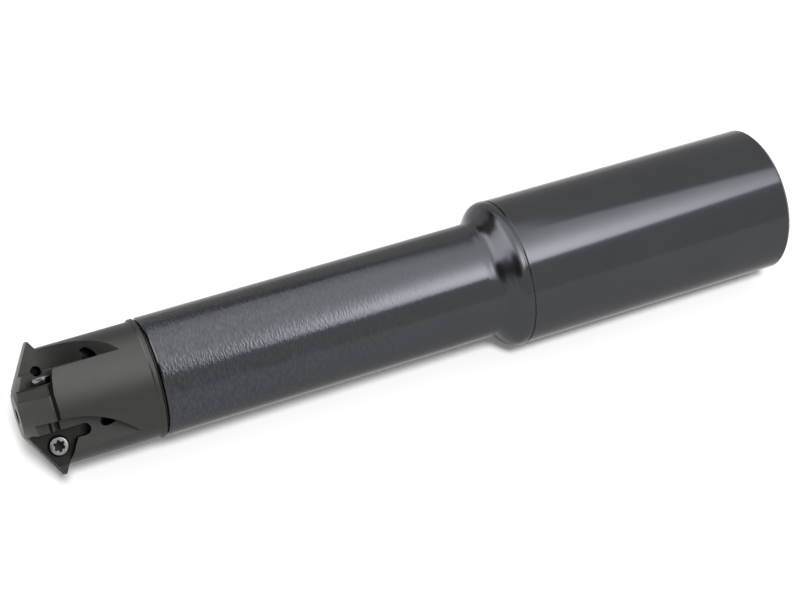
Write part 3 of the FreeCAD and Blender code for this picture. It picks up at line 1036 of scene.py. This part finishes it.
@dataclass(frozen=True)
class PhotoView:
    """Where the photograph was taken from, fitted to the outlines of the tool.

    The joint's place is given in the camera's own frame: right, down and away. axis_away and
    axis_up are the angles at which the shank runs from the joint: away from the camera and up
    in the picture.
    """

    focal_px: float = 1860.188
    joint_right: float = -50.87286 * MM
    joint_down: float = 15.66985 * MM
    joint_away: float = 378.21514 * MM
    axis_away: float = 0.30927
    axis_up: float = 0.28809
    tooth_turn: float = math.radians(-2.7)
    joint_z: float = 143.0 * MM
    sensor: float = 36.0
    nearest: float = 0.01
    farthest: float = 10.0

    def turning(self) -> Matrix:
        """The rotation from the camera's frame (right, down, away) to the tool's frame."""
        joint = Vector((self.joint_right, self.joint_down, self.joint_away))
        flat = math.cos(self.axis_away)
        along = Vector((
            flat * math.cos(self.axis_up), -flat * math.sin(self.axis_up),
            math.sin(self.axis_away)))
        side_y = (joint - along * joint.dot(along)).normalized()
        side_z = -along
        side_x = side_y.cross(side_z)
        cos, sin = math.cos(self.tooth_turn), math.sin(self.tooth_turn)
        tool_x = side_x * cos + side_y * sin
        tool_y = side_y * cos - side_x * sin
        return Matrix((tool_x, tool_y, side_z))

    def direction(self, right: float, up: float, back: float) -> Vector:
        """A direction given as seen in the photograph, in the tool's frame."""
        return self.turning() @ Vector((right, -up, -back))

    def eye(self) -> Vector:
        """The camera's place in the tool's frame."""
        joint = Vector((self.joint_right, self.joint_down, self.joint_away))
        return self.turning() @ -joint + Vector((0.0, 0.0, self.joint_z))

    def floor_up(self) -> Vector:
        """The upward direction of the level floor on which the tool lay for the photograph."""
        rise = math.cos(self.axis_away) * math.sin(self.axis_up)
        pitch = math.atan2(rise, math.sin(self.axis_away))
        return self.direction(0.0, math.cos(pitch), math.sin(pitch))

    def round_axis(self, lift: float) -> Vector:
        """The direction square to the axis that lies lift above the line of sight."""
        back = self.direction(0, 0, 1)
        back.z = 0.0
        back.normalize()
        over = AXIS.cross(back)
        if over.dot(self.direction(0, 1, 0)) < 0.0:
            over = -over
        return back * math.cos(lift) + over * math.sin(lift)

    def build(self) -> None:
        """Make the camera that the scene is seen by."""
        data = bpy.data.cameras.new("photo_view")
        data.sensor_width = self.sensor
        data.lens = self.focal_px * self.sensor / PHOTO_WIDTH_PX
        data.clip_start = self.nearest
        data.clip_end = self.farthest
        camera = placed("photo_view", data)
        columns = (self.direction(1, 0, 0), self.direction(0, 1, 0), self.direction(0, 0, 1))
        matrix = Matrix(columns).transposed().to_4x4()
        matrix.translation = self.eye()
        camera.matrix_world = matrix
        bpy.context.scene.camera = camera


@dataclass(frozen=True)
class FloorSun:
    """A distant lamp that shows only on the floor, where it draws the tool's shadow."""

    view: PhotoView
    lift: float = math.radians(10.0)
    slant: float = math.radians(-3.0)
    width: float = math.radians(13.0)
    strength: float = 3.0

    def build(self) -> None:
        """Make the lamp."""
        data = bpy.data.lights.new("floor_sun", "SUN")
        data.angle = self.width
        data.energy = self.strength
        lamp = placed("floor_sun", data)
        ray = self.view.round_axis(self.lift) * math.cos(self.slant)
        ray -= AXIS * math.sin(self.slant)
        lamp.rotation_mode = "QUATERNION"
        lamp.rotation_quaternion = ray.to_track_quat("Z", "Y")
        lamp.visible_glossy = False
        lamp.visible_camera = False


@dataclass(frozen=True)
class Screen:
    """A flat sheet beside the tool that only shows in the metal.

    It stands square to a line that leaves the axis lift above the line of sight. Places on it
    are along the tool's axis and across it.
    """

    view: PhotoView
    name: str
    outlines: tuple[tuple[tuple[float, float], ...], ...]
    distance: float
    lift: float = math.radians(40.0)

    def glow_at(self, x: Signal, y: Signal) -> Signal:
        """How strongly the sheet shines at a place on it, which each kind of sheet says."""
        raise NotImplementedError(self.name)

    def material(self) -> bpy.types.Material:
        """A sheet that shines on the side that faces the tool.

        Returns:
            The sheet's material.
        """
        material, bench = plain_material(self.name)
        x, y, _ = parts_of(bench, bench.out("ShaderNodeTexCoord", "Object"))
        front = 1.0 - bench.out("ShaderNodeNewGeometry", "Backfacing")
        bench.show(bench.out("ShaderNodeEmission", 0, values={
            "Color": WHITE, "Strength": self.glow_at(x, y) * front}))
        return material

    def build(self) -> None:
        """Hang the sheet."""
        mesh = bpy.data.meshes.new(self.name)
        corners = [(x, y, 0.0) for outline in self.outlines for x, y in outline]
        faces = []
        for outline in self.outlines:
            first = sum(len(face) for face in faces)
            faces.append(tuple(range(first, first + len(outline))))
        mesh.from_pydata(corners, [], faces)
        mesh.update()
        mesh.materials.append(self.material())
        sheet = placed(self.name, mesh)
        out = self.view.round_axis(self.lift)
        across = self.view.round_axis(self.lift + math.radians(90.0))
        if mesh.polygons[0].normal.z * AXIS.cross(across).dot(out) > 0.0:
            mesh.flip_normals()
        matrix = Matrix((AXIS, across, AXIS.cross(across))).transposed().to_4x4()
        matrix.translation = out * self.distance
        sheet.matrix_world = matrix
        sheet.visible_camera = False
        sheet.visible_diffuse = False
        sheet.visible_shadow = False


@dataclass(frozen=True)
class Diffuser(Screen):
    """The large lit cloth, with a brighter spot where its lamp shines through."""

    glow: float = 2.45
    far_glow: float = 2.0
    far_start: float = 0.15
    far_width: float = 0.2
    top_fade: float = 0.30
    top_start: float = 0.20
    top_width: float = 0.50
    rear_fade: float = 0.75
    rear_start: float = -0.09
    rear_width: float = 0.12
    hot_glow: float = 4.8
    hot_end: float = -0.01
    hot_fade: float = 0.05
    hot_place: tuple[float, float] = (-0.135, -0.30)
    hot_turn: float = math.radians(-50.0)
    hot_size: tuple[float, float] = (0.14, 0.13)

    def glow_at(self, x: Signal, y: Signal) -> Signal:
        """Even cloth with a bright spot, stronger past the cutting end, weaker high and behind."""
        along = x - self.hot_place[0]
        across = y - self.hot_place[1]
        cos, sin = math.cos(self.hot_turn), math.sin(self.hot_turn)
        ridge = (along * cos + across * sin) / self.hot_size[0]
        side = (across * cos - along * sin) / self.hot_size[1]
        fade = (ridge * ridge + side * side) * -0.5
        spot = fade.maths("EXPONENT", fade) * ((self.hot_end - x) / self.hot_fade).clamped()
        far = ((x - self.far_start) / self.far_width).clamped()
        high = ((y - self.top_start) / self.top_width).clamped()
        rear = ((self.rear_start - x) / self.rear_width).clamped() * (y / self.top_width).clamped()
        cloth = (1.0 - high * self.top_fade - rear * self.rear_fade) * self.glow
        return spot * self.hot_glow + far * self.far_glow + cloth


@dataclass(frozen=True)
class DimScreen(Screen):
    """Unlit sheets at both sides of the cloth, darker towards the cutting end."""

    near_level: float = 0.70
    far_level: float = 0.14
    change_start: float = -0.02
    change_width: float = 0.16

    def glow_at(self, x: Signal, y: Signal) -> Signal:
        """The little light that such a sheet throws back."""
        share = ((x - self.change_start) / self.change_width).clamped()
        return self.near_level + share * (self.far_level - self.near_level)


@dataclass(frozen=True)
class Studio:
    """White floor, white surroundings and the sheets that show in the metal."""

    view: PhotoView
    cloth_distance: float = 0.5
    dim_distance: float = 0.49
    floor_drop: float = 16.1 * MM
    floor_middle: float = 0.09
    floor_size: float = 4.0
    floor_glow: float = 0.10
    floor_white: float = 0.90
    fill: float = 0.45

    def floor_material(self) -> bpy.types.Material:
        """White to the camera and in the metal, with the tool's shadow.

        Returns:
            The floor's material.
        """
        material, bench = plain_material("pale_floor")
        glow = bench.out("ShaderNodeEmission", 0, values={
            "Color": WHITE, "Strength": self.floor_glow})
        pale = bench.out(
            "ShaderNodeBsdfDiffuse", 0, values={"Color": (self.floor_white,) * 3 + (1.0,)})
        shown = bench.out("ShaderNodeAddShader", 0, values={0: glow, 1: pale})
        behind = bench.out("ShaderNodeNewGeometry", "Backfacing")
        clear = bench.out("ShaderNodeBsdfTransparent", 0)
        bench.show(bench.out("ShaderNodeMixShader", 0, values={0: behind, 1: shown, 2: clear}))
        return material

    def build_floor(self) -> None:
        """Lay the floor under the tool as it lay for the photograph."""
        up = self.view.floor_up()
        across = up.cross(AXIS)
        middle = up * -self.floor_drop + AXIS * self.floor_middle
        half = self.floor_size / 2
        corners = [
            middle + AXIS * (half * a) + across * (half * b)
            for a, b in ((-1, -1), (-1, 1), (1, 1), (1, -1))]
        mesh = bpy.data.meshes.new("floor")
        mesh.from_pydata([tuple(corner) for corner in corners], [], [(0, 1, 2, 3)])
        mesh.update()
        if mesh.polygons[0].normal.dot(up) < 0.0:
            mesh.flip_normals()
        mesh.materials.append(self.floor_material())
        floor = placed("floor", mesh)

    def build_world(self) -> None:
        """White to the camera and in the metal, and a dim even fill for the floor."""
        world = bpy.data.worlds.new("studio")
        bpy.context.scene.world = world
        world.use_nodes = True
        tree = world.node_tree
        path = NodeBench(tree).add("ShaderNodeLightPath")
        seen = Signal(tree, path.outputs["Is Camera Ray"])
        for name in ("Is Glossy Ray", "Is Transmission Ray"):
            seen = seen.higher(Signal(tree, path.outputs[name]))
        strength = seen * (1.0 - self.fill) + self.fill
        background = tree.nodes["Background"]
        background.inputs["Color"].default_value = WHITE
        tree.links.new(strength.socket, background.inputs["Strength"])

    def build(self) -> None:
        """Make the camera, the floor, the surroundings and the lights."""
        self.view.build()
        self.build_floor()
        self.build_world()
        Diffuser(self.view, "lit_cloth", LIT_OUTLINES, self.cloth_distance).build()
        DimScreen(self.view, "dim_sheets", DIM_OUTLINES, self.dim_distance).build()
        FloorSun(self.view).build()


# The sheets' corners, along the tool's axis and across it.
LIT_OUTLINES = ((
    (-0.40, -0.145), (-0.068, -0.555), (-0.02, -0.50), (0.05, -0.34), (0.20, -0.16),
    (0.50, -0.10), (1.50, 0.02), (3.0, 0.25), (3.0, 1.60), (0.60, 0.60), (0.12, 0.58),
    (0.12, 0.90), (-0.172, 0.90), (-0.15, 0.10)),)
DIM_OUTLINES = (
    ((-0.20, 0.62), (-0.02, 0.62), (-0.02, 1.60), (-0.20, 1.60)),
    ((0.18, 0.60), (0.60, 0.60), (3.0, 1.60), (3.0, 3.5), (0.60, 1.80), (0.18, 1.25)),
    ((0.22, -0.65), (1.0, -0.80), (4.0, -1.40), (4.0, 0.45), (1.50, 0.02), (0.50, -0.10),
     (0.22, -0.18)))
SHANK_FINISH = BarFinish(
    name="blued_bar_steel", mark=ToolMark.TURNED,
    dark_tint=(0.054, 0.055, 0.061), light_tint=(0.062, 0.064, 0.071),
    roughness=0.12, streak=0.04, line_pitch=0.22 * MM, line_depth=0.0006 * MM,
    edge_rounding=0.30 * MM)
HEAD_FINISH = HeadFinish(
    name="dark_milled_steel", mark=ToolMark.MILLED,
    dark_tint=(0.044, 0.044, 0.042), light_tint=(0.058, 0.058, 0.056),
    roughness=0.38, streak=0.10, line_pitch=0.12 * MM, line_depth=0.0015 * MM,
    edge_rounding=0.06 * MM)
INSERT_FINISH = CarbideFinish(
    name="coated_carbide", mark=ToolMark.HONED,
    dark_tint=(0.020, 0.020, 0.018), light_tint=(0.029, 0.029, 0.026),
    roughness=0.38, streak=0.10, line_pitch=0.08 * MM, line_depth=0.0010 * MM,
    edge_rounding=0.05 * MM)
SCREW_FINISH = PlatedFinish(
    name="plated_steel", mark=ToolMark.HONED,
    dark_tint=(0.20, 0.20, 0.20), light_tint=(0.30, 0.30, 0.30),
    roughness=0.18, streak=0.08, line_pitch=0.10 * MM, line_depth=0.0006 * MM)


def main() -> None:
    """Build every piece and the studio, and log each piece's face count."""
    for part in (
        Shank(SHANK_FINISH), CutterHead(HEAD_FINISH),
        Inserts(INSERT_FINISH), InsertScrews(SCREW_FINISH),
    ):
        piece = part.build()
        log.info("piece %s: %d faces", piece.name, len(piece.data.polygons))
    Studio(PhotoView()).build()
    bpy.context.scene.view_settings.view_transform = "Standard"


if __name__ == "__main__":
    main()
